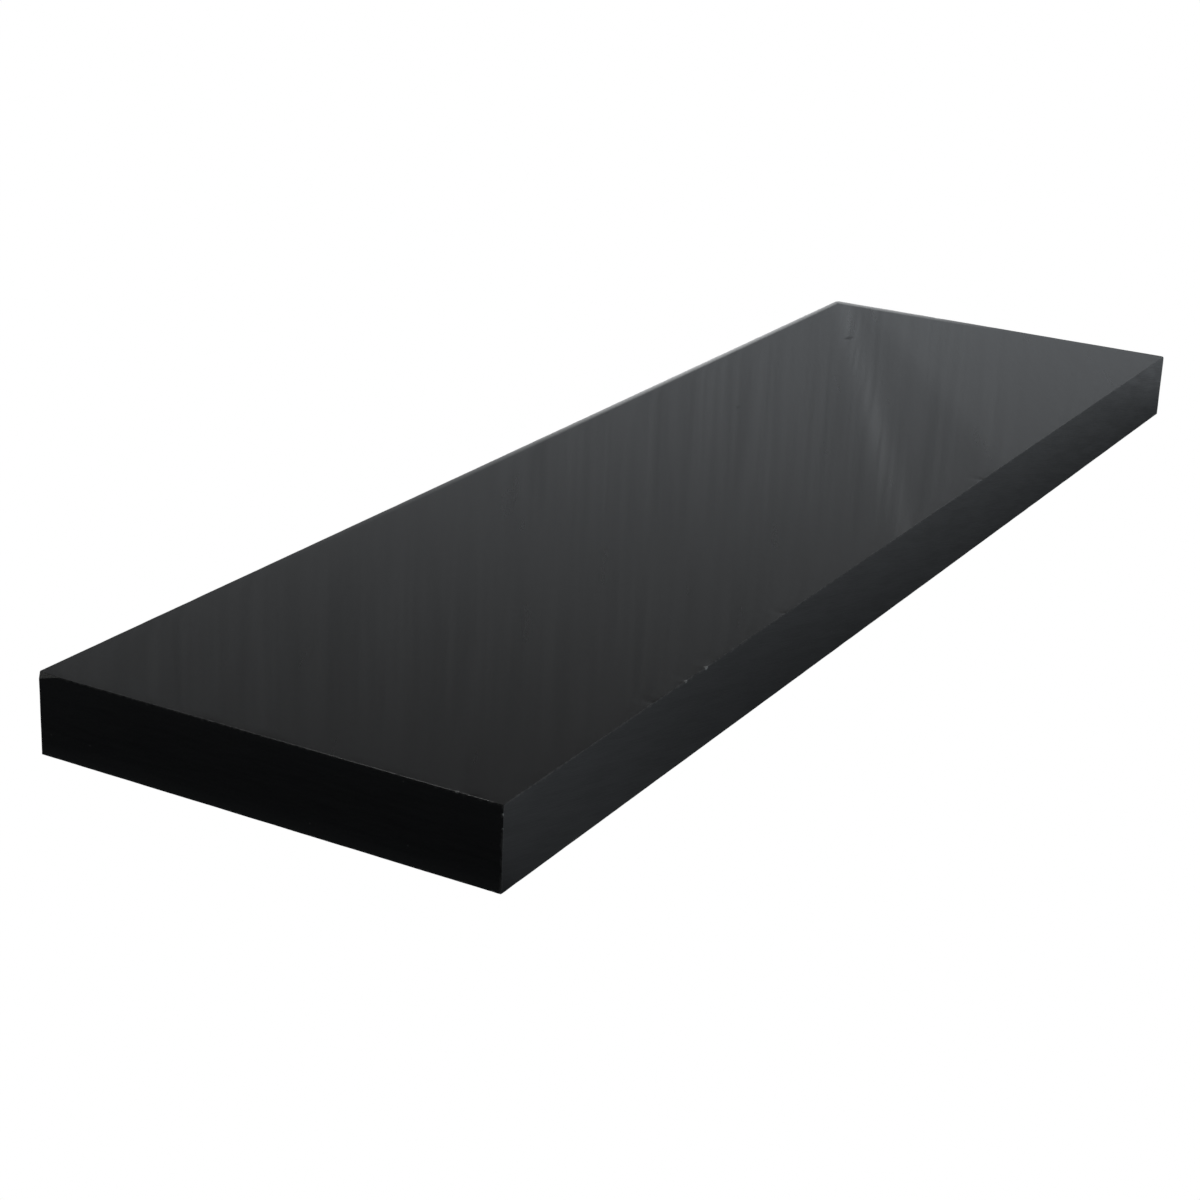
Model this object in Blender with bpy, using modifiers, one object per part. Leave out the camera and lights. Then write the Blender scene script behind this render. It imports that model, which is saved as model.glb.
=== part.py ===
"""Kick plate: one solid slab of black polyethylene, lying flat on its back face.

Frame: metres, +Z up. X runs along the plate, Y up the door and Z out from the door.
The origin is the centre of the back face, which is the face fixed against the door.
"""

import bpy

INCH = 0.0254

# Driving dimensions
PLATE_LENGTH = 42 * INCH  # along X, the width of a 44 inch door less an inch at each side
PLATE_HEIGHT = 12 * INCH  # along Y, how far the plate reaches up the door
PLATE_THICKNESS = 2 * INCH  # along Z, a stock thickness of sheet
ARRIS_WIDTH = 0.0005  # what a hand scraper takes off each sharp sawn edge
ARRIS_SEGMENTS = 2

# Finish: carbon-black polyethylene with a satin skin
BLACK_PLASTIC = (0.011, 0.011, 0.012, 1.0)
SATIN_ROUGHNESS = 0.36


def clear_scene():
    for old in list(bpy.data.objects):
        bpy.data.objects.remove(old)


def plastic_material():
    material = bpy.data.materials.new("black_plastic")
    material.use_nodes = True
    shader = material.node_tree.nodes["Principled BSDF"]
    shader.inputs["Base Color"].default_value = BLACK_PLASTIC
    shader.inputs["Roughness"].default_value = SATIN_ROUGHNESS
    shader.inputs["Metallic"].default_value = 0.0
    return material


def into_collection(piece, collection):
    for holder in list(piece.users_collection):
        holder.objects.unlink(piece)
    collection.objects.link(piece)


def make_slab(collection):
    """The whole plate: a box of stock, with its twelve arrises broken by a narrow round."""
    bpy.ops.mesh.primitive_cube_add(size=1.0)
    slab = bpy.context.object
    slab.name = "plate_slab"
    slab.data.name = "plate_slab"
    slab.scale = (PLATE_LENGTH, PLATE_HEIGHT, PLATE_THICKNESS)
    bpy.ops.object.transform_apply(location=False, rotation=False, scale=True)
    slab.location.z = PLATE_THICKNESS / 2

    arris = slab.modifiers.new("broken_arrises", "BEVEL")
    arris.width = ARRIS_WIDTH
    arris.segments = ARRIS_SEGMENTS
    arris.limit_method = "NONE"

    slab.data.materials.append(plastic_material())
    into_collection(slab, collection)
    return slab


def main():
    clear_scene()
    collection = bpy.data.collections.new("kick_plate")
    bpy.context.scene.collection.children.link(collection)
    make_slab(collection)


main()
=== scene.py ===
# %% [markdown]
# # A black plastic kick plate
#
# A kick plate is fixed across the foot of a door or gate, where boots, trolleys and hooves hit it. This
# one is a single thick slab, sawn out of a pressed sheet of black polyethylene. It has no holes, no frame
# and no moving parts, so everything that makes it look real is in its surfaces: a satin skin from the
# press, slanting marks from the saw, edges scraped by hand, a bruised corner and the wipe of a cloth.
#
# The imported solid comes first. It fixes the size and place of everything else.

# %% Load the plate
import math

import bmesh
import bpy
from mathutils import Matrix, Vector, noise


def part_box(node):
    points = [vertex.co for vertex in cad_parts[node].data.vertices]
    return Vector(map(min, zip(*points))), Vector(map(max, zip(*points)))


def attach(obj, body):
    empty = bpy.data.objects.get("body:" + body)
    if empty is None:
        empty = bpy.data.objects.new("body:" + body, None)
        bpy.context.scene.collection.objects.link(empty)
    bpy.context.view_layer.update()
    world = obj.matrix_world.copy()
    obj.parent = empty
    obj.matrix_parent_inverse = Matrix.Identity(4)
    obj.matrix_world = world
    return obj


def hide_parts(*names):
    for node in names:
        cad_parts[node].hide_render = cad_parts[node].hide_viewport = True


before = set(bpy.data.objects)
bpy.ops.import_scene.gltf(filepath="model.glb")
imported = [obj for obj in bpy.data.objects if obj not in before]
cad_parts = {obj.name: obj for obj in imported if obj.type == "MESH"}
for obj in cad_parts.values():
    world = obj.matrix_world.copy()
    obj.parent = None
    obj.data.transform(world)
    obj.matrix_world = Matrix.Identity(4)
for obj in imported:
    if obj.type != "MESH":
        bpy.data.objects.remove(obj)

MM = 0.001
scene = bpy.context.scene
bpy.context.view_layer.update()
low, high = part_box("plate_slab")
size = high - low
centre = (low + high) / 2
half = size / 2
print("the plate is", [round(side / MM, 1) for side in size], "mm")

# %% [markdown]
# ## Camera
#
# The camera stands off the near left end, a little above the plate, and looks along it. A lens of about
# 75 mm on a 36 mm sensor keeps the far end from shrinking too much, which a wide lens close by would do.
# The direction comes from an aim point on the plate, and a small roll tilts the horizon. `to_track_quat`
# builds a level camera, so the roll is a second turn, about the camera's own line of sight.

# %% Camera
CAMERA_PLACE = Vector((-1.5271, -0.7478, 0.6028))
CAMERA_AIM = Vector((-0.1956, -0.0173, 0.0262))
CAMERA_ROLL = math.radians(2.45)
LENS_MM = 76.14
SENSOR_MM = 36.0

camera_data = bpy.data.cameras.new("camera")
camera_data.lens = LENS_MM
camera_data.sensor_width = SENSOR_MM
camera = bpy.data.objects.new("camera", camera_data)
scene.collection.objects.link(camera)
level = (CAMERA_AIM - CAMERA_PLACE).to_track_quat("-Z", "Y").to_matrix().to_4x4()
camera.matrix_world = Matrix.Translation(CAMERA_PLACE) @ level @ Matrix.Rotation(CAMERA_ROLL, 4, "Z")
scene.camera = camera
print("the camera is", round((CAMERA_PLACE - centre).length, 2), "m from the middle of the plate")

# %% [markdown]
# ## Helpers for shader nodes
#
# A material in Blender is a graph of nodes. A few helpers keep the graphs short to write. `add` places a
# node and fills its inputs, where an input is either a plain value or another node's output, which it
# then links. The others are the nodes used most, given back as their output sockets.

# %% Node helpers
NOISE_RANGE = (0.3, 0.7)  # nearly all the values of a noise lie between these


def add(tree, kind, inputs=(), **settings):
    """Place a node. Inputs is a list of (socket name or number, value or output socket)."""
    made = tree.nodes.new(kind)
    for name, value in settings.items():
        setattr(made, name, value)
    for socket, value in inputs:
        if isinstance(value, bpy.types.NodeSocket):
            tree.links.new(value, made.inputs[socket])
        else:
            made.inputs[socket].default_value = value
    return made


def maths(tree, operation, *values):
    """One Math node, as its output."""
    return add(tree, "ShaderNodeMath", enumerate(values), operation=operation).outputs[0]


def vector_maths(tree, operation, *values):
    """One Vector Math node, as its output."""
    return add(tree, "ShaderNodeVectorMath", enumerate(values), operation=operation).outputs[0]


def length(tree, vector):
    """How long a vector is, as an output."""
    return add(tree, "ShaderNodeVectorMath", [(0, vector)], operation="LENGTH").outputs["Value"]


def remap(tree, value, from_low, from_high, to_low=0.0, to_high=1.0, curve="LINEAR"):
    """A Map Range node, as its output: it stretches one range onto another and stops at both ends."""
    inputs = [(0, value), (1, from_low), (2, from_high), (3, to_low), (4, to_high)]
    return add(tree, "ShaderNodeMapRange", inputs, interpolation_type=curve).outputs[0]


def ramp(tree, value, stops):
    """A smooth curve of greys through (position, grey) stops, as its output."""
    made = add(tree, "ShaderNodeValToRGB", [(0, value)])
    made.color_ramp.interpolation = "B_SPLINE"
    while len(made.color_ramp.elements) < len(stops):
        made.color_ramp.elements.new(0.5)
    for stop, (place, grey) in zip(made.color_ramp.elements, stops):
        stop.position = place
        stop.color = (grey, grey, grey, 1.0)
    return made.outputs[0]


def mix_colour(tree, share, first, second):
    """A colour between two others, as its output."""
    inputs = [("Factor", share), (6, first), (7, second)]
    return add(tree, "ShaderNodeMix", inputs, data_type="RGBA").outputs[2]


# %% [markdown]
# ## The room
#
# A black satin plate has almost no colour of its own. What is seen in it is the room, so the room is
# designed first. The camera sees plain white all round. The plate sees something else: a dim studio,
# brightest low down beyond the far end, where a lit cloth backdrop hangs, and dark overhead and behind
# the camera. A world shader can give the two of them different things, because the Light Path node tells
# a camera ray from a bounced one.
#
# The backdrop hangs in narrow pleats on the left and is smooth on the right. The pleats are a noise drawn
# out much longer upwards than sideways, and a glossy face shows them as faint upright streaks. A plain
# even backdrop was the other choice. It makes the face look like paint, because nothing in the reflection
# says that it is a reflection.

# %% Room
WHITE = (1.0, 1.0, 1.0, 1.0)
COOL_WHITE = (0.92, 0.985, 1.045, 1.0)

# how bright the studio is from straight down (0), through the horizon (0.5), to straight up (1)
LADDER = [(0.00, 0.05), (0.36, 0.08), (0.45, 0.50), (0.50, 1.00), (0.545, 0.60), (0.58, 0.33), (0.61, 0.33),
          (0.67, 0.19), (0.74, 0.06), (1.00, 0.05)]
DARK_SIDE = 0.35  # what is left of it behind the camera
DARK_TO_LIT = (-0.7, 0.6)  # it brightens between these, from the near end's side to the far end's
NARROW_PLEATS, NARROW_SPREAD = 1000.0, 0.32  # how many to a radian, and how much brighter or darker they are
WIDE_FOLDS, WIDE_SPREAD = 260.0, 0.08
PLEAT_BREAKS = 12.0  # how often a pleat changes on its way up
SMOOTH_TURN = math.radians(18)  # the cloth is smooth to the right of this bearing
PLEATED_TURN = math.radians(23)  # and fully pleated to the left of this one
SMOOTH_CLOTH = 0.15  # what is left of the pleats on the smooth side
COOL_TO_WHITE = (0.22, 0.42)  # the light turns from bluish to white between these heights

scene.view_settings.view_transform = "Standard"
world = bpy.data.worlds.new("studio")
world.use_nodes = True
scene.world = world
room = world.node_tree
room.nodes.clear()

way = add(room, "ShaderNodeTexCoord").outputs["Generated"]
along, across, up = add(room, "ShaderNodeSeparateXYZ", [(0, way)]).outputs
turn = maths(room, "ARCTAN2", across, along)


def pleats(per_radian, spread):
    """Brighter and darker upright stripes, round 0."""
    place = add(room, "ShaderNodeCombineXYZ", [(0, maths(room, "MULTIPLY", turn, per_radian)),
                                               (1, maths(room, "MULTIPLY", up, PLEAT_BREAKS))])
    stripes = add(room, "ShaderNodeTexNoise", [("Vector", place.outputs[0]), ("Scale", 1.0), ("Detail", 1.0)],
                  noise_dimensions="2D").outputs[0]
    return remap(room, stripes, *NOISE_RANGE, -spread, spread)


glow = ramp(room, remap(room, up, -1.0, 1.0), LADDER)
glow = maths(room, "MULTIPLY", glow, remap(room, along, *DARK_TO_LIT, DARK_SIDE, 1.0, "SMOOTHSTEP"))
stripes = maths(room, "ADD", pleats(NARROW_PLEATS, NARROW_SPREAD), pleats(WIDE_FOLDS, WIDE_SPREAD))
pleated = remap(room, turn, SMOOTH_TURN, PLEATED_TURN, SMOOTH_CLOTH, 1.0, "SMOOTHSTEP")
stripes = maths(room, "MULTIPLY", stripes, pleated)
glow = maths(room, "MULTIPLY", glow, maths(room, "ADD", stripes, 1.0))

seen = add(room, "ShaderNodeBackground", [("Color", WHITE), ("Strength", 1.0)])
tint = mix_colour(room, remap(room, up, *COOL_TO_WHITE), COOL_WHITE, WHITE)
reflected = add(room, "ShaderNodeBackground", [("Color", tint), ("Strength", glow)])
is_camera = add(room, "ShaderNodeLightPath").outputs["Is Camera Ray"]
mixed = add(room, "ShaderNodeMixShader", [(0, is_camera), (1, reflected.outputs[0]), (2, seen.outputs[0])])
add(room, "ShaderNodeOutputWorld", [("Surface", mixed.outputs[0])])
print("the studio has", len(room.nodes), "nodes")

# %% [markdown]
# ## The floor
#
# The floor is plain white paper to the camera. To everything else it glows, and that glow carries a
# painted shadow and painted light: it is dark close by, as if the plate shaded it, and brighter further
# off, with painted pools of light along the table, past the far long edge and beyond the far end. An
# upright face at a height of 20 mm mirrors the floor some 40 mm away, so this painted shadow is what makes
# the lower part of each sawn edge darker than its top. The distance to the plate is worked out from the
# point's position: how far it lies outside the plate's rectangle.

# %% Floor
FLOOR_REACH = 6.0
SHADE_REACH = 0.16
# painted shadow: the floor's glow is darkest right beside the plate
SHADED = 0.35  # what is left of the floor's brightness right beside the plate
# painted light: how bright the table's glow is along the plate, from the near end (0) to the far end (1)
TABLE = [(0.00, 0.06), (0.075, 0.05), (0.105, 0.01), (0.125, 0.50), (0.18, 0.52), (0.30, 0.33), (0.40, 0.35),
         (0.52, 0.38), (0.66, 0.38), (0.78, 0.40), (0.86, 0.40), (1.00, 0.36)]
TABLE_START, TABLE_END = -0.70, 0.78
# painted light on the table's far side and beyond the far end
LIT_TABLE = 1.2  # on the far side, out of the plate's shade
LIT_PAST_BACK = (half.y, half.y + 0.12)  # that light comes up between these, across the table
LIT_ALONG_BACK = (-0.30, 0.10)  # and between these along it
LIT_PAST_END = (half.x + 0.20, half.x + 0.35)  # and, beyond the far end, between these


def outside(tree, value, reach):
    """How far a coordinate lies beyond plus or minus reach, or 0 inside."""
    return maths(tree, "MAXIMUM", maths(tree, "SUBTRACT", maths(tree, "ABSOLUTE", value), reach), 0.0)


paper = bpy.data.materials.new("white_paper")
paper.use_nodes = True
tree = paper.node_tree
tree.nodes.clear()
spot = add(tree, "ShaderNodeTexCoord").outputs["Object"]
floor_x, floor_y, _ = add(tree, "ShaderNodeSeparateXYZ", [(0, spot)]).outputs
beyond_x = outside(tree, floor_x, half.x)
beyond_y = outside(tree, floor_y, half.y)
gap = add(tree, "ShaderNodeCombineXYZ", [(0, beyond_x), (1, beyond_y)])
# painted shadow of the plate, times painted light along the table, with painted light further off
shade = remap(tree, length(tree, gap.outputs[0]), 0.0, SHADE_REACH, SHADED, 1.0, "SMOOTHSTEP")
lit = ramp(tree, remap(tree, floor_x, TABLE_START, TABLE_END), TABLE)
past_back = remap(tree, floor_y, *LIT_PAST_BACK, 0.0, LIT_TABLE, "SMOOTHSTEP")
past_back = maths(tree, "MULTIPLY", past_back, remap(tree, floor_x, *LIT_ALONG_BACK, 0.0, 1.0, "SMOOTHSTEP"))
past_end = remap(tree, floor_x, *LIT_PAST_END, 0.0, LIT_TABLE, "SMOOTHSTEP")
far_side = maths(tree, "MAXIMUM", past_back, past_end)
grey = maths(tree, "MAXIMUM", maths(tree, "MULTIPLY", shade, lit), far_side)
table = add(tree, "ShaderNodeEmission", [("Color", COOL_WHITE), ("Strength", grey)])
page = add(tree, "ShaderNodeEmission", [("Color", WHITE), ("Strength", 1.0)])
is_camera = add(tree, "ShaderNodeLightPath").outputs["Is Camera Ray"]
mixed = add(tree, "ShaderNodeMixShader", [(0, is_camera), (1, table.outputs[0]), (2, page.outputs[0])])
add(tree, "ShaderNodeOutputMaterial", [("Surface", mixed.outputs[0])])

sheet = bmesh.new()
bmesh.ops.create_circle(sheet, cap_ends=True, segments=64, radius=FLOOR_REACH)
floor_mesh = bpy.data.meshes.new("floor")
sheet.to_mesh(floor_mesh)
sheet.free()
floor_mesh.materials.append(paper)
floor = bpy.data.objects.new("floor", floor_mesh)
scene.collection.objects.link(floor)
print("the floor reaches", FLOOR_REACH, "m and its paper has", len(tree.nodes), "nodes")

# %% [markdown]
# ## The lamps
#
# Three soft lamps are there for the edges alone. The flat faces throw their light away from the camera,
# and only the narrow scraped edges, which are turned 45 degrees, send it back. That is what draws a thin
# bright line along an edge of black plastic. One lamp hangs above the near end and one stands low beside
# the plate. Each is small, so that its line is brightest at the near corner and fades along the edge. The
# third hangs straight above the far long edge and lights its rim, which also carries a painted highlight.
# They are hidden from the camera.

# %% Lamps
NEAR_CORNER = (-0.53, -0.15, 0.05)
FAR_RIM = (0.30, 0.15, 0.05)
HONEYCOMB = math.radians(60)


def softbox(name, place, aim, width, depth, watts, beam=math.pi):
    """A rectangular lamp, turned to face a point. A narrow beam is what a honeycomb grid before it gives."""
    data = bpy.data.lights.new(name, "AREA")
    data.shape = "RECTANGLE"
    data.size = width
    data.size_y = depth
    data.energy = watts
    data.spread = beam
    lamp = bpy.data.objects.new(name, data)
    scene.collection.objects.link(lamp)
    lamp.location = place
    lamp.rotation_euler = (Vector(aim) - Vector(place)).to_track_quat("-Z", "Y").to_euler()
    lamp.visible_camera = False
    return lamp


lamps = [
    softbox("overhead", (-1.05, 0.41, 0.98), NEAR_CORNER, 0.25, 0.20, 2.2),
    softbox("low_side", (0.08, -0.51, 0.42), NEAR_CORNER, 0.20, 0.20, 0.17),
    softbox("above_rim", (0.30, 0.20, 1.05), FAR_RIM, 0.60, 0.20, 0.95, HONEYCOMB),
]
print("lamps in watts:", {lamp.name: round(lamp.data.energy, 2) for lamp in lamps})

# %% [markdown]
# ## Shared effect: streaks
#
# All the finishes need the same thing: marks that are long one way and narrow the other. A node group
# does this once. It turns the coordinates, so that the marks can lie at any angle, then multiplies them
# by a stretch, in marks per metre along each axis, and reads a noise there. Low and High say which part
# of the noise becomes 0 to 1. The same group with an even stretch gives an even mottle.

# %% Streaks group


def new_group(name, takes, gives):
    """An empty node group with named sockets, as (tree, its inputs, its outputs)."""
    made = bpy.data.node_groups.new(name, "ShaderNodeTree")
    for label, kind, value in takes:
        socket = made.interface.new_socket(label, in_out="INPUT", socket_type=kind)
        socket.default_value = value
    for label in gives:
        made.interface.new_socket(label, in_out="OUTPUT", socket_type="NodeSocketFloat")
    return made, add(made, "NodeGroupInput").outputs, add(made, "NodeGroupOutput").inputs


def use(tree, group, *inputs):
    """Place a node group in a material, as its outputs."""
    return add(tree, "ShaderNodeGroup", inputs, node_tree=group).outputs


FLOAT, VECTOR = "NodeSocketFloat", "NodeSocketVector"

streaks, given, result = new_group(
    "streaks",
    [("Vector", VECTOR, (0, 0, 0)), ("Turn", VECTOR, (0, 0, 0)), ("Stretch", VECTOR, (100, 100, 100)),
     ("Detail", FLOAT, 2.0), ("Low", FLOAT, NOISE_RANGE[0]), ("High", FLOAT, NOISE_RANGE[1])],
    ["Marks"])
turned = add(streaks, "ShaderNodeMapping", [("Vector", given["Vector"]), ("Rotation", given["Turn"])])
drawn = vector_maths(streaks, "MULTIPLY", turned.outputs[0], given["Stretch"])
field = add(streaks, "ShaderNodeTexNoise", [("Vector", drawn), ("Scale", 1.0), ("Detail", given["Detail"])])
streaks.links.new(remap(streaks, field.outputs[0], given["Low"], given["High"]), result["Marks"])
print("streaks takes", [socket.name for socket in given if socket.name])

# %% [markdown]
# ## Shared effect: edge wear
#
# Wear sits near the edges. The plate is a box, so the distance from any point on it to the nearest edge
# is easy: take the gaps to the three pairs of faces, and the smallest is 0, because the point is on a
# face. The second smallest is the distance to the nearest edge. It is the sum of the three less the
# smallest and the largest. A mottle makes the border of the wear ragged. The Bevel node or the Pointiness
# of the Geometry node could find edges too, but they depend on the renderer or on how finely the mesh is
# cut.

# %% Edge wear group
MOTTLE_RANGE = (0.35, 0.75)
RAGGED_REACH = (0.05, 2.0)  # how much of its reach the wear keeps, from dark mottle to light

wear, given, result = new_group(
    "edge_wear",
    [("Vector", VECTOR, (0, 0, 0)), ("Centre", VECTOR, tuple(centre)), ("Half", VECTOR, tuple(half)),
     ("Reach", FLOAT, 0.002), ("Grain", FLOAT, 300.0)],
    ["Wear"])
folded = vector_maths(wear, "ABSOLUTE", vector_maths(wear, "SUBTRACT", given["Vector"], given["Centre"]))
gaps = vector_maths(wear, "SUBTRACT", given["Half"], folded)
gap_x, gap_y, gap_z = add(wear, "ShaderNodeSeparateXYZ", [(0, gaps)]).outputs
smallest = maths(wear, "MINIMUM", maths(wear, "MINIMUM", gap_x, gap_y), gap_z)
largest = maths(wear, "MAXIMUM", maths(wear, "MAXIMUM", gap_x, gap_y), gap_z)
total = maths(wear, "ADD", maths(wear, "ADD", gap_x, gap_y), gap_z)
to_edge = maths(wear, "SUBTRACT", maths(wear, "SUBTRACT", total, smallest), largest)
mottle = add(wear, "ShaderNodeTexNoise",
             [("Vector", given["Vector"]), ("Scale", given["Grain"]), ("Detail", 3.0)])
kept_reach = remap(wear, mottle.outputs[0], *MOTTLE_RANGE, *RAGGED_REACH)
share_of_reach = maths(wear, "DIVIDE", to_edge, maths(wear, "MULTIPLY", given["Reach"], kept_reach))
wear.links.new(remap(wear, share_of_reach, 0.0, 1.0, 1.0, 0.0, "SMOOTHSTEP"), result["Wear"])
print("edge_wear takes", [socket.name for socket in given if socket.name])

# %% [markdown]
# ## Shared effect: specks and single spots
#
# Chips and pits are small, round and far apart. A Voronoi texture cuts space into cells and gives each
# point's distance to its cell's centre, and each cell a random colour. A speck shows where the distance
# is small and the cell's random number is under a share, so Share thins them out without making them
# smaller. A spot is the same idea with one given place and its own radius along each axis.

# %% Specks and spot groups
SPECK_CORE = 0.6  # the share of a speck's radius that is even, before it fades
SPOT_CORE = 0.3

specks, given, result = new_group(
    "specks",
    [("Vector", VECTOR, (0, 0, 0)), ("Per metre", FLOAT, 60.0), ("Radius", FLOAT, 0.05),
     ("Share", FLOAT, 0.1)],
    ["Specks"])
cells = add(specks, "ShaderNodeTexVoronoi", [("Vector", given["Vector"]), ("Scale", given["Per metre"])])
dot = maths(specks, "DIVIDE", cells.outputs["Distance"], given["Radius"])
dot = remap(specks, dot, SPECK_CORE, 1.0, 1.0, 0.0)
luck = add(specks, "ShaderNodeSeparateColor", [(0, cells.outputs["Color"])]).outputs[0]
chosen = maths(specks, "LESS_THAN", luck, given["Share"])
specks.links.new(maths(specks, "MULTIPLY", dot, chosen), result["Specks"])

spots, given, result = new_group(
    "spot",
    [("Vector", VECTOR, (0, 0, 0)), ("Place", VECTOR, (0, 0, 0)), ("Radii", VECTOR, (0.003, 0.003, 0.003))],
    ["Spot"])
away = vector_maths(spots, "SUBTRACT", given["Vector"], given["Place"])
radii_away = length(spots, vector_maths(spots, "DIVIDE", away, given["Radii"]))
spots.links.new(remap(spots, radii_away, SPOT_CORE, 1.0, 1.0, 0.0, "SMOOTHSTEP"), result["Spot"])
print("groups:", [group.name for group in bpy.data.node_groups])

# %% [markdown]
# ## Shared effect: the wipe of a cloth
#
# Someone wiped the front with a cloth, slanting across it from the far left corner. The pass left one
# clear streak, and beyond it a wide stretch that the cloth polished a little brighter. The group turns
# the coordinates so that one axis runs along the wipe and the other across it. The streak is a bell curve
# across that axis, and the polished stretch is a smooth step whose border leans away from the streak. The
# cloth's own threads dragged at a flatter angle than the wipe itself, so the streak is really a comb of
# short marks. They are the streaks group again, with its own turn. Polish changes how much the face
# mirrors, not its colour, so the group's outputs go to Coat Weight.

# %% Wipe group
WIPE_ANGLE = math.radians(28.3)
WIPE_SIDE = -0.1233  # where the streak lies, across the wipe, from the plate's middle
STREAK_WIDTH = 10 * MM  # from its middle to where a third of it is left
STREAK_SHIFT = 2 * MM  # from WIPE_SIDE to the streak's middle
DRIFT = 3 * MM  # how far the hand wandered
POLISH_LEAN = 0.126  # how far the polished stretch's border moves off for each metre along the wipe
POLISH_START = 93 * MM
POLISH_FADE = (-16 * MM, 14 * MM)
THREAD_ANGLE = math.radians(21.0)
THREAD_SHARES = (0.45, 1.25)  # how strong the streak is between threads and on them

wipe, given, result = new_group("cloth_wipe", [("Vector", VECTOR, (0, 0, 0))], ["Streak", "Polish"])
turned = add(wipe, "ShaderNodeMapping", [("Vector", given["Vector"]), ("Rotation", (0, 0, -WIPE_ANGLE))])
wipe_along, wipe_across, _ = add(wipe, "ShaderNodeSeparateXYZ", [(0, turned.outputs[0])]).outputs
drift = use(wipe, streaks, ("Vector", turned.outputs[0]), ("Stretch", (6.0, 20.0, 1.0)),
            ("Low", 0.2), ("High", 0.8))
beyond = maths(wipe, "SUBTRACT", WIPE_SIDE, wipe_across)
beyond = maths(wipe, "ADD", beyond, maths(wipe, "MULTIPLY", drift["Marks"], DRIFT))
threads = use(wipe, streaks, ("Vector", given["Vector"]), ("Turn", (0, 0, -THREAD_ANGLE)),
              ("Stretch", (3.0, 190.0, 1.0)), ("Detail", 1.0), ("Low", 0.38), ("High", 0.62))
bell = maths(wipe, "DIVIDE", maths(wipe, "SUBTRACT", beyond, STREAK_SHIFT), STREAK_WIDTH)
bell = maths(wipe, "EXPONENT", maths(wipe, "MULTIPLY", maths(wipe, "MULTIPLY", bell, bell), -1.0))
textured = remap(wipe, threads["Marks"], 0.0, 1.0, *THREAD_SHARES)
wipe.links.new(maths(wipe, "MULTIPLY", bell, textured), result["Streak"])
border = maths(wipe, "SUBTRACT", POLISH_START, maths(wipe, "MULTIPLY", wipe_along, POLISH_LEAN))
past = maths(wipe, "SUBTRACT", beyond, border)
wipe.links.new(remap(wipe, past, *POLISH_FADE, 0.0, 1.0, "SMOOTHSTEP"), result["Polish"])
angles = [round(math.degrees(angle), 1) for angle in (WIPE_ANGLE, THREAD_ANGLE)]
print("the wipe and its threads slant by", angles, "degrees")

# %% [markdown]
# ## Where the plate was knocked
#
# Handling leaves nicks in the sharp edges, and the saw leaves burrs standing on them. Each is a place, a
# radius, a depth, where a negative depth is a burr, and whether the plastic is torn there. The list comes
# before the finishes, because it is used twice: later it moves the vertices, and here it turns torn
# plastic nearly white, with the spot group. Only the middle of each nick is torn, and a fine noise breaks
# its border.

# %% Knocks
NICKS = [
    (Vector((low.x, -0.1245, high.z)), 2.4 * MM, -0.4 * MM, True),
    (Vector((low.x, -0.132, high.z)), 1.8 * MM, 0.4 * MM, False),
    (Vector((low.x, -0.088, high.z)), 1.6 * MM, 0.3 * MM, False),
    (Vector((low.x, 0.031, high.z)), 2.0 * MM, 0.4 * MM, False),
    (Vector((-0.311, low.y, high.z)), 3.4 * MM, -0.3 * MM, True),
    (Vector((-0.336, low.y, high.z)), 2.6 * MM, -0.3 * MM, True),
    (Vector((-0.374, low.y, high.z)), 2.0 * MM, 0.4 * MM, False),
    (Vector((-0.205, low.y, high.z)), 2.0 * MM, 0.4 * MM, False),
    (Vector((0.118, low.y, high.z)), 2.0 * MM, 0.4 * MM, False),
    (Vector((low.x, low.y, 0.0452)), 2.0 * MM, 0.3 * MM, True),
    (Vector((low.x, low.y, 0.0369)), 1.8 * MM, 0.2 * MM, True),
    (Vector((low.x, low.y, low.z)), 2.6 * MM, 0.15 * MM, True),
    (Vector((low.x, -0.147, low.z)), 2.2 * MM, 0.1 * MM, True),
    (Vector((high.x, low.y, high.z)), 2.0 * MM, 0.4 * MM, False),
    (Vector((high.x, high.y, high.z)), 2.4 * MM, 0.5 * MM, False),
    (Vector((high.x, 0.055, high.z)), 2.0 * MM, 0.4 * MM, False),
]
STRESS_WHITE = (0.45, 0.46, 0.45, 1.0)
TORN_SHARE = 0.65  # of a nick's radius
TORN_GRAIN = (1100.0, 1100.0, 1100.0)


def torn_spots(tree, where):
    """How torn the plastic is, from 0 to 1: all the torn nicks together."""
    ragged = use(tree, streaks, ("Vector", where), ("Stretch", TORN_GRAIN), ("Low", 0.35), ("High", 0.55))
    torn_here = 0.0
    for place, radius, _, is_torn in NICKS:
        if is_torn:
            radii = (radius * TORN_SHARE,) * 3
            spot = use(tree, spots, ("Vector", where), ("Place", tuple(place)), ("Radii", radii))["Spot"]
            torn_here = maths(tree, "MAXIMUM", torn_here, spot)
    return maths(tree, "MULTIPLY", torn_here, ragged["Marks"])


print(len(NICKS), "knocks, of which", sum(is_torn for _, _, _, is_torn in NICKS), "are torn")
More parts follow.
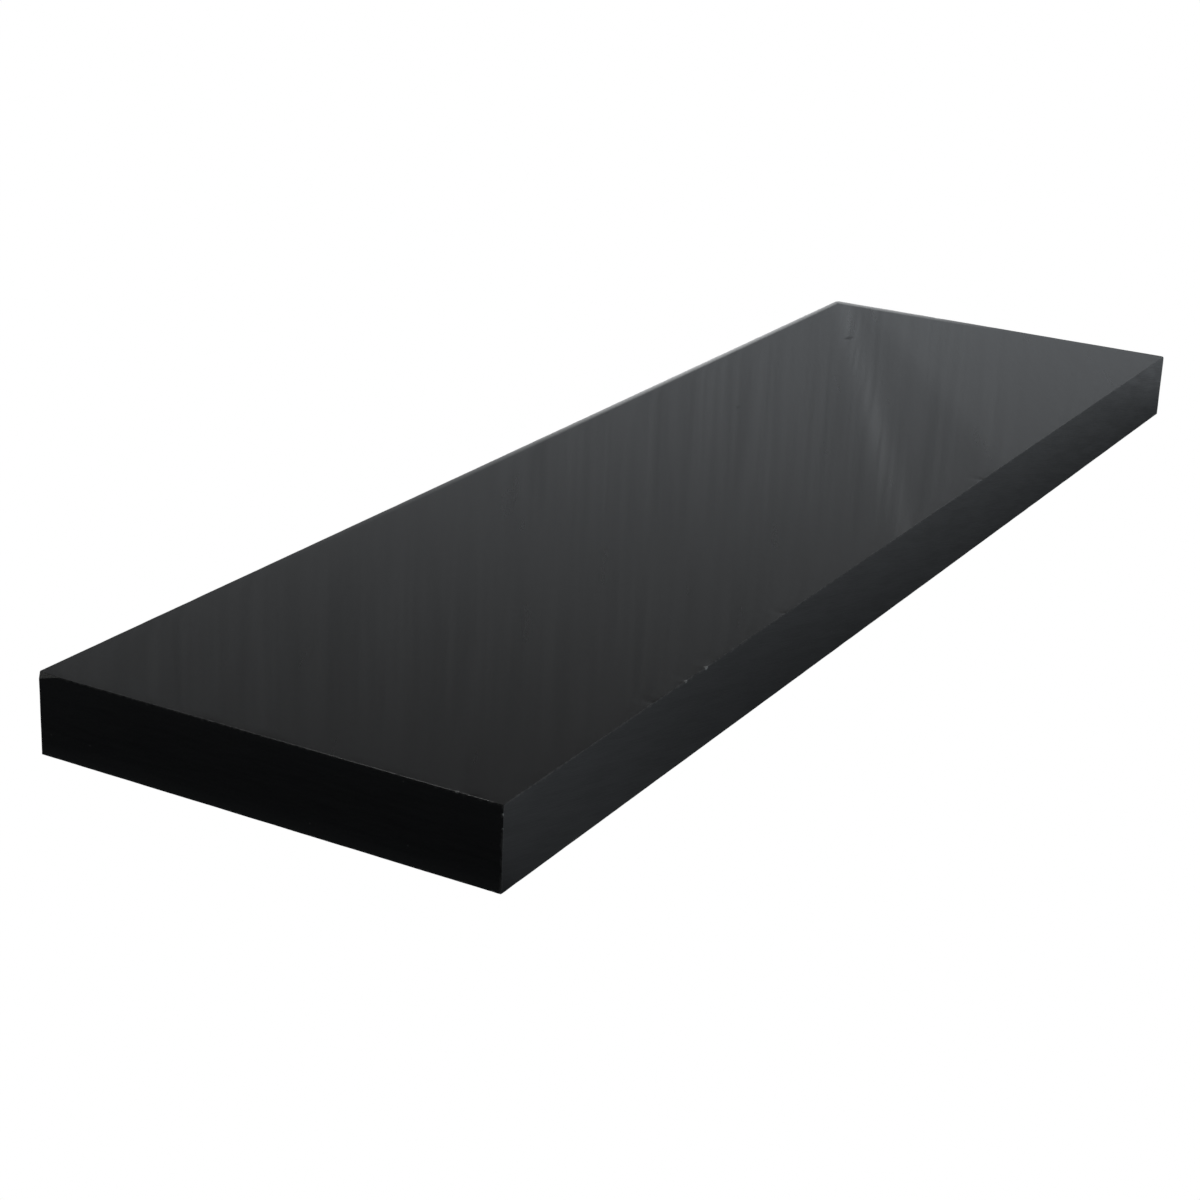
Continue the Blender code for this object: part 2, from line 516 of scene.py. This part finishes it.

# %% [markdown]
# ## Finish: pressed skin
#
# The two large faces are as the press left them: black, satin, faintly mottled. A Principled BSDF can
# carry two layers of gloss. The lower one is broad and soft. Over it lies a thin clear coat that is much
# smoother, which is what lets the pleats show. The base is a black so deep that its diffuse light hardly
# counts. The front has the cloth's wipe, two small pits and a painted highlight: a rim painted pale along
# the far long edge and the far end, standing in for the bright backdrop reflected in a slightly rounded
# edge. The rim is a slope of grey from each edge inwards, and it fades with the distance from the corner
# between them. The back is the same skin without any of these.

# %% Pressed skin
BLACK = (0.0075, 0.0077, 0.0082, 1.0)
DUST_GREY = (0.16, 0.16, 0.155, 1.0)
SKIN_WEAR = 1.2 * MM
SKIN_DUST = 0.35  # how much of a worn edge is dust
SKIN_COAT, SKIN_ROUGHNESS = (0.40, 0.50), (0.27, 0.33)
SKIN_GRAIN = (150.0, 150.0, 150.0)
STREAK_COAT, POLISH_COAT = 0.30, 0.20
PITS = [
    ((0.420, 0.089, high.z), (9 * MM, 4 * MM, 9 * MM)),
    ((0.174, 0.071, high.z), (5 * MM, 3 * MM, 5 * MM)),
]
PIT_COAT = 0.1  # what is left of the coat in a pit
# painted highlight: a pale grey standing in for the bright backdrop reflected in the far edges
RIM_HIGHLIGHT_GREY = (0.70, 0.71, 0.71, 1.0)
RIM_BESIDE_LONG, RIM_BESIDE_END = 6.0 * MM, 10.0 * MM
RIM_LEAN = 5.2  # how much faster the rim fades along the end than along the long edge
RIM_FADE = (0.40, 1.10)  # it comes up between these, measured as x and RIM_LEAN times y together


def new_material(name):
    """A node material, as (material, tree, shader, object coordinates)."""
    made = bpy.data.materials.new(name)
    made.use_nodes = True
    tree = made.node_tree
    return made, tree, tree.nodes["Principled BSDF"], add(tree, "ShaderNodeTexCoord").outputs["Object"]


def set_inputs(tree, shader, values):
    """Fill a shader's inputs: constants on the sockets themselves, and outputs by links."""
    for name, value in values.items():
        if isinstance(value, bpy.types.NodeSocket):
            tree.links.new(value, shader.inputs[name])
        else:
            shader.inputs[name].default_value = value


def bump(tree, height, depth):
    """Turn a height of 0 to 1 into a normal, for a relief this deep in metres."""
    inputs = [("Height", height), ("Distance", depth), ("Strength", 1.0)]
    return add(tree, "ShaderNodeBump", inputs).outputs[0]


def painted_rim_highlight(tree, where):
    """How strong the painted highlight is beside the front's two far edges, from 0 to 1."""
    x, y, _ = add(tree, "ShaderNodeSeparateXYZ", [(0, where)]).outputs
    beside_long = remap(tree, y, high.y - RIM_BESIDE_LONG, high.y)
    beside_end = remap(tree, x, high.x - RIM_BESIDE_END, high.x)
    to_corner = maths(tree, "ADD", x, maths(tree, "MULTIPLY", y, RIM_LEAN))
    fade = remap(tree, to_corner, *RIM_FADE, 0.0, 1.0, "SMOOTHSTEP")
    return maths(tree, "MULTIPLY", maths(tree, "MAXIMUM", beside_long, beside_end), fade)


def pressed_skin(name, wiped):
    """The skin of a large face. Only a wiped one has the wipe, the pits, the painted rim highlight and the
    torn nicks.
    """
    made, tree, shader, where = new_material(name)
    grain = use(tree, streaks, ("Vector", where), ("Stretch", SKIN_GRAIN), ("Detail", 1.0))["Marks"]
    cloud = use(tree, streaks, ("Vector", where), ("Turn", (0, 0, -WIPE_ANGLE)),
                ("Stretch", (5.0, 60.0, 1.0)), ("Detail", 4.0))["Marks"]
    worn = use(tree, wear, ("Vector", where), ("Reach", SKIN_WEAR))["Wear"]
    coat = remap(tree, cloud, 0.0, 1.0, *SKIN_COAT)
    black = mix_colour(tree, maths(tree, "MULTIPLY", worn, SKIN_DUST), BLACK, DUST_GREY)
    if wiped:
        # painted highlight along the front's far long edge and far end
        black = mix_colour(tree, painted_rim_highlight(tree, where), black, RIM_HIGHLIGHT_GREY)
        black = mix_colour(tree, torn_spots(tree, where), black, STRESS_WHITE)
        marks = use(tree, wipe, ("Vector", where))
        coat = maths(tree, "ADD", coat, maths(tree, "MULTIPLY", marks["Streak"], STREAK_COAT))
        coat = maths(tree, "ADD", coat, maths(tree, "MULTIPLY", marks["Polish"], POLISH_COAT))
        for place, radii in PITS:
            sunk = use(tree, spots, ("Vector", where), ("Place", place), ("Radii", radii))["Spot"]
            coat = maths(tree, "MULTIPLY", coat, remap(tree, sunk, 0.0, 1.0, 1.0, PIT_COAT))
    set_inputs(tree, shader, {
        "Base Color": black,
        "Roughness": remap(tree, cloud, 0.0, 1.0, *SKIN_ROUGHNESS),
        "Specular IOR Level": 0.25,
        "Coat Weight": coat,
        "Coat Roughness": 0.04,
        "Normal": bump(tree, grain, 0.006 * MM),
    })
    return made


# %% [markdown]
# ## Finish: sawn edges
#
# The four narrow faces were cut with a saw, and never polished. On the long ones the teeth left fine
# marks that slant down along the cut, long and narrow, some deeper than others. They are the streaks
# group at two scales, turned by the slant. The same height drives the bump and the roughness, because the
# deeper torn marks are also the duller ones. The ends were cut across with a finer blade, so their marks
# are closer and lie level.

# %% Sawn faces
SAWN_WEAR = 1.5 * MM
SAWN_DUST, CHIP_DUST = 0.3, 0.25  # how much of a worn edge is dust, and how much of a chip
COARSE_SHARE, FINE_SHARE = 0.6, 0.4
DULLING = 0.06  # how much rougher the deepest marks are, and how much smoother the shallowest


def sawn(name, turn, coarse, fine, roughness, depth):
    """A sawn face, from the turn and the two stretches of its marks."""
    made, tree, shader, where = new_material(name)
    wide = use(tree, streaks, ("Vector", where), ("Turn", turn), ("Stretch", coarse))["Marks"]
    thin = use(tree, streaks, ("Vector", where), ("Turn", turn), ("Stretch", fine),
               ("Low", 0.35), ("High", 0.65))["Marks"]
    chips = use(tree, specks, ("Vector", where), ("Per metre", 150.0), ("Radius", 0.09),
                ("Share", 0.01))["Specks"]
    worn = use(tree, wear, ("Vector", where), ("Reach", SAWN_WEAR))["Wear"]
    relief = maths(tree, "ADD", maths(tree, "MULTIPLY", wide, COARSE_SHARE),
                   maths(tree, "MULTIPLY", thin, FINE_SHARE))
    pale = maths(tree, "MAXIMUM", maths(tree, "MULTIPLY", chips, CHIP_DUST),
                 maths(tree, "MULTIPLY", worn, SAWN_DUST))
    cut = mix_colour(tree, pale, BLACK, DUST_GREY)
    set_inputs(tree, shader, {
        "Base Color": mix_colour(tree, torn_spots(tree, where), cut, STRESS_WHITE),
        "Roughness": remap(tree, relief, 0.2, 0.8, roughness + DULLING, roughness - DULLING),
        "Normal": bump(tree, relief, depth),
    })
    return made


# %% [markdown]
# ## Finish: scraped edges and the bruise
#
# A scraper takes the sharp arris off each edge and leaves a narrow flat. Freshly scraped polyethylene is
# paler than its skin, because the cut surface is torn on a fine scale and scatters light. Where the
# corner was knocked the plastic is stress-whitened, which is paler again and rougher. Both are the same
# shader with other values.

# %% Scraped and bruised
SCRAPED_GREY = (0.035, 0.036, 0.036, 1.0)
PALE_GREY = (0.17, 0.17, 0.16, 1.0)


def torn(name, dark, pale, roughness, stretch, depth):
    """Plastic that was scraped or knocked, between a dark and a pale grey."""
    made, tree, shader, where = new_material(name)
    tears = use(tree, streaks, ("Vector", where), ("Stretch", stretch), ("Detail", 4.0))["Marks"]
    scraped = mix_colour(tree, tears, dark, pale)
    set_inputs(tree, shader, {
        "Base Color": mix_colour(tree, torn_spots(tree, where), scraped, STRESS_WHITE),
        "Roughness": roughness,
        "Normal": bump(tree, tears, depth),
    })
    return made


SAW_SLANT = math.radians(13.0)
SLANTING, LEVEL = (0, -SAW_SLANT, 0), (0, 0, 0)
finishes = [
    pressed_skin("front_skin", True),
    pressed_skin("back_skin", False),
    sawn("sawn_long_edge", SLANTING, (24.0, 1.0, 170.0), (45.0, 1.0, 1500.0), 0.40, 0.045 * MM),
    sawn("sawn_end", LEVEL, (1.0, 30.0, 500.0), (1.0, 90.0, 2200.0), 0.46, 0.03 * MM),
    torn("scraped_edge", BLACK, SCRAPED_GREY, 0.33, (160.0, 160.0, 160.0), 0.08 * MM),
    torn("bruise", SCRAPED_GREY, PALE_GREY, 0.6, (900.0, 900.0, 900.0), 0.15 * MM),
]
FRONT, BACK, LONG_EDGE, END, ARRIS, BRUISE = range(len(finishes))
print("finishes:", [finish.name for finish in finishes])

# %% [markdown]
# ## The blank
#
# The slab starts as a cube, scaled to the frame's size. A flat face with no cuts in it can't bend, so
# each direction is then cut into strips: `subdivide_edges` on the edges that run one way joins its cuts
# across the faces. The strips are finest through the thickness, where the saw's ripples are narrow.

# %% Blank
STRIPS = (4.0 * MM, 7.6 * MM, 2.0 * MM)
SNAP = 0.05 * MM  # points closer than this count as touching
ALMOST = 0.9


def cut_into_strips(bm, axis, pitch):
    """Cut every edge that runs the whole way along one axis into equal lengths."""
    lines = [edge for edge in bm.edges
             if abs((edge.verts[0].co - edge.verts[1].co)[axis]) > ALMOST * size[axis]]
    bmesh.ops.subdivide_edges(bm, edges=lines, cuts=round(size[axis] / pitch) - 1, use_grid_fill=True)


bm = bmesh.new()
bmesh.ops.create_cube(bm, size=1.0)
bmesh.ops.scale(bm, vec=size, verts=bm.verts)
bmesh.ops.translate(bm, vec=centre, verts=bm.verts)
for axis, pitch in enumerate(STRIPS):
    cut_into_strips(bm, axis, pitch)
print("the blank has", len(bm.faces), "faces")

# %% [markdown]
# ## The bruised corner
#
# The near left corner took a knock, and its top edge sags into a small facet. Three reaches along the
# three edges that meet there give a plane, and `bisect_plane` cuts the corner off with it. The hole is
# then filled. Pushing the corner's vertices in by hand would be the other way, but it needs a much finer
# mesh to keep a crisp border.

# %% Bruised corner
BRUISE_ALONG = 1.3 * MM
BRUISE_ACROSS = 16.0 * MM
BRUISE_DOWN = 4.4 * MM

corner = Vector((low.x, high.y, high.z))
steps = [(BRUISE_ALONG, 0, 0), (0, -BRUISE_ACROSS, 0), (0, 0, -BRUISE_DOWN)]
reaches = [corner + Vector(step) for step in steps]
facing = (reaches[1] - reaches[0]).cross(reaches[2] - reaches[0]).normalized()
if facing.dot(corner - reaches[0]) < 0:
    facing.negate()
everything = bm.verts[:] + bm.edges[:] + bm.faces[:]
sliced = bmesh.ops.bisect_plane(bm, geom=everything, dist=SNAP, plane_co=reaches[0], plane_no=facing,
                                clear_outer=True)
rim = [part for part in sliced["geom_cut"] if isinstance(part, bmesh.types.BMEdge)]
facet = bmesh.ops.contextual_create(bm, geom=rim)["faces"]
for face in bm.faces:
    face.material_index = FRONT
for face in facet:
    face.material_index = BRUISE
bruise_area = sum(face.calc_area() for face in facet)
print("the bruise is", round(bruise_area / MM**2, 1), "square mm in", len(facet), "face")

# %% [markdown]
# ## Scraped arrises
#
# Every sharp edge gets the narrow flat that the scraper leaves, with `bevel`. One segment is enough: a
# flat at 45 degrees catches a lamp over its whole width, where a round edge would catch it on a hair's
# breadth. The edges are chosen by the angle between their two faces: the cuts of the strips lie in flat
# faces, at an angle of 0, and stay as they are. The back's edges are hardly touched, so they are beveled
# first and narrower. The bevel hands back its new faces, which take the scraped finish, and the rest take
# theirs from the way they face.

# %% Arrises
ARRIS_WIDTH = 0.5 * MM
BACK_ARRIS_WIDTH = 0.2 * MM
SHARP = math.radians(12.0)


def finish_facing(normal):
    """Which finish a flat face has, from its normal."""
    if abs(normal.z) > ALMOST:
        return FRONT if normal.z > 0 else BACK
    return LONG_EDGE if abs(normal.y) > ALMOST else END


for face in bm.faces:
    if face.material_index != BRUISE:
        face.material_index = finish_facing(face.normal)
passes = [(BACK_ARRIS_WIDTH, low.z, low.z), (ARRIS_WIDTH, low.z + BACK_ARRIS_WIDTH, high.z)]
for width, lowest, highest in passes:
    sharp = [edge for edge in bm.edges if edge.calc_face_angle(0.0) > SHARP
             and all(lowest - SNAP < vert.co.z < highest + SNAP for vert in edge.verts)]
    beveled = bmesh.ops.bevel(bm, geom=sharp, offset=width, offset_type="OFFSET", affect="EDGES", segments=1,
                              profile=0.5, material=-1, clamp_overlap=True)
    for face in beveled["faces"]:
        face.material_index = ARRIS
    print(len(sharp), "sharp edges gave", len(beveled["faces"]), "arris faces", width / MM, "mm wide")

# %% [markdown]
# ## Nicks and burrs
#
# The list of nicks is now used on the mesh. The arris is first cut finer round each one, and then the
# vertices within the radius move towards the plate's middle, most at the centre and not at all at the
# rim.

# %% Nicks
FINER = 3  # cuts in each edge
NICK_MARGIN = 3 * MM
LONG_ENOUGH = 1.2 * MM  # shorter edges are fine enough as they are


def near_nick(edge):
    """Whether an edge's middle is at a nick or just beside it."""
    middle = (edge.verts[0].co + edge.verts[1].co) / 2
    return any((middle - place).length < radius + NICK_MARGIN for place, radius, _, _ in NICKS)


fine = [edge for edge in bm.edges if edge.calc_length() > LONG_ENOUGH and near_nick(edge)
        and any(face.material_index == ARRIS for face in edge.link_faces)]
bmesh.ops.subdivide_edges(bm, edges=fine, cuts=FINER, use_grid_fill=True)
moved = 0
for place, radius, depth, _ in NICKS:
    inward = Vector(((centre - place)[axis] if abs(abs((centre - place)[axis]) - half[axis]) < MM else 0.0
                     for axis in range(3)))
    inward = Vector((math.copysign(1.0, part) if part else 0.0 for part in inward)).normalized()
    for vert in bm.verts:
        share = 1.0 - ((vert.co - place).length / radius) ** 2
        if share > 0:
            vert.co += inward * depth * share * share
            moved += 1
print(len(NICKS), "nicks and burrs moved", moved, "vertices")

# %% [markdown]
# ## Nothing is quite flat
#
# A pressed sheet warps by a tenth of a millimetre or two, a saw blade wanders, and a scraper bites deeper
# in one place than in the next. A smooth noise moves each vertex by that much, always inwards, so that
# the noise never makes the plate larger. The saw's ripple reads the noise in coordinates that slant with
# the saw's marks.

# %% Unevenness
WARP, WARP_PITCH = 0.08 * MM, 0.25
RIPPLE, RIPPLE_LENGTH, RIPPLE_PITCH = 0.12 * MM, 0.09, 0.011
BITE, BITE_PITCH = 0.14 * MM, 0.017
SKIN_DEPTH = 0.8 * MM


def smooth_noise(x, y, z):
    """From 0 to 1."""
    return 0.5 + 0.5 * noise.noise(Vector((x, y, z)))


scraped = {vert for face in bm.faces if face.material_index == ARRIS for vert in face.verts}
tilt, rise = math.cos(SAW_SLANT), math.sin(SAW_SLANT)
for vert in bm.verts:
    x, y, z = vert.co
    shift = Vector((0.0, 0.0, 0.0))
    near = [abs(abs((vert.co - centre)[axis]) - half[axis]) < SKIN_DEPTH for axis in range(3)]
    side = [-math.copysign(1.0, (vert.co - centre)[axis]) for axis in range(3)]
    if near[2]:
        shift.z = side[2] * WARP * smooth_noise(x / WARP_PITCH, y / WARP_PITCH, 5 * side[2])
    if near[1]:
        run, fall = x * tilt - z * rise, x * rise + z * tilt
        shift.y = side[1] * RIPPLE * smooth_noise(run / RIPPLE_LENGTH, fall / RIPPLE_PITCH, 9 * side[1])
    if near[0]:
        shift.x = side[0] * RIPPLE * smooth_noise(y / RIPPLE_LENGTH, z / RIPPLE_PITCH, 13 * side[0])
    if vert in scraped:
        bite = BITE * smooth_noise(x / BITE_PITCH, y / BITE_PITCH, z / BITE_PITCH) ** 2
        shift += bite * Vector((side[axis] if near[axis] else 0.0 for axis in range(3)))
    vert.co += shift
print(len(scraped), "of", len(bm.verts), "vertices are on scraped edges")

# %% [markdown]
# ## The finished piece
#
# The faces are shaded smooth, so that the ripple doesn't show as facets, and the borders between one
# finish and the next are marked sharp, so that the shading doesn't run round the corner. The mesh then
# goes into an object at the origin, unturned and unscaled, because the finishes read the object's own
# coordinates.

# %% Plate
for face in bm.faces:
    face.smooth = True
for edge in bm.edges:
    edge.smooth = len({face.material_index for face in edge.link_faces}) == 1
bmesh.ops.recalc_face_normals(bm, faces=bm.faces)
open_edges = sum(not edge.is_manifold for edge in bm.edges)
print(len(bm.faces), "faces,", open_edges, "open edges,", round(bm.calc_volume() * 1000, 3), "litres")

plate_mesh = bpy.data.meshes.new("plate")
bm.to_mesh(plate_mesh)
bm.free()
for finish in finishes:
    plate_mesh.materials.append(finish)
plate = bpy.data.objects.new("plate", plate_mesh)
scene.collection.objects.link(plate)

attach(plate, "root")
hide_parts("plate_slab")
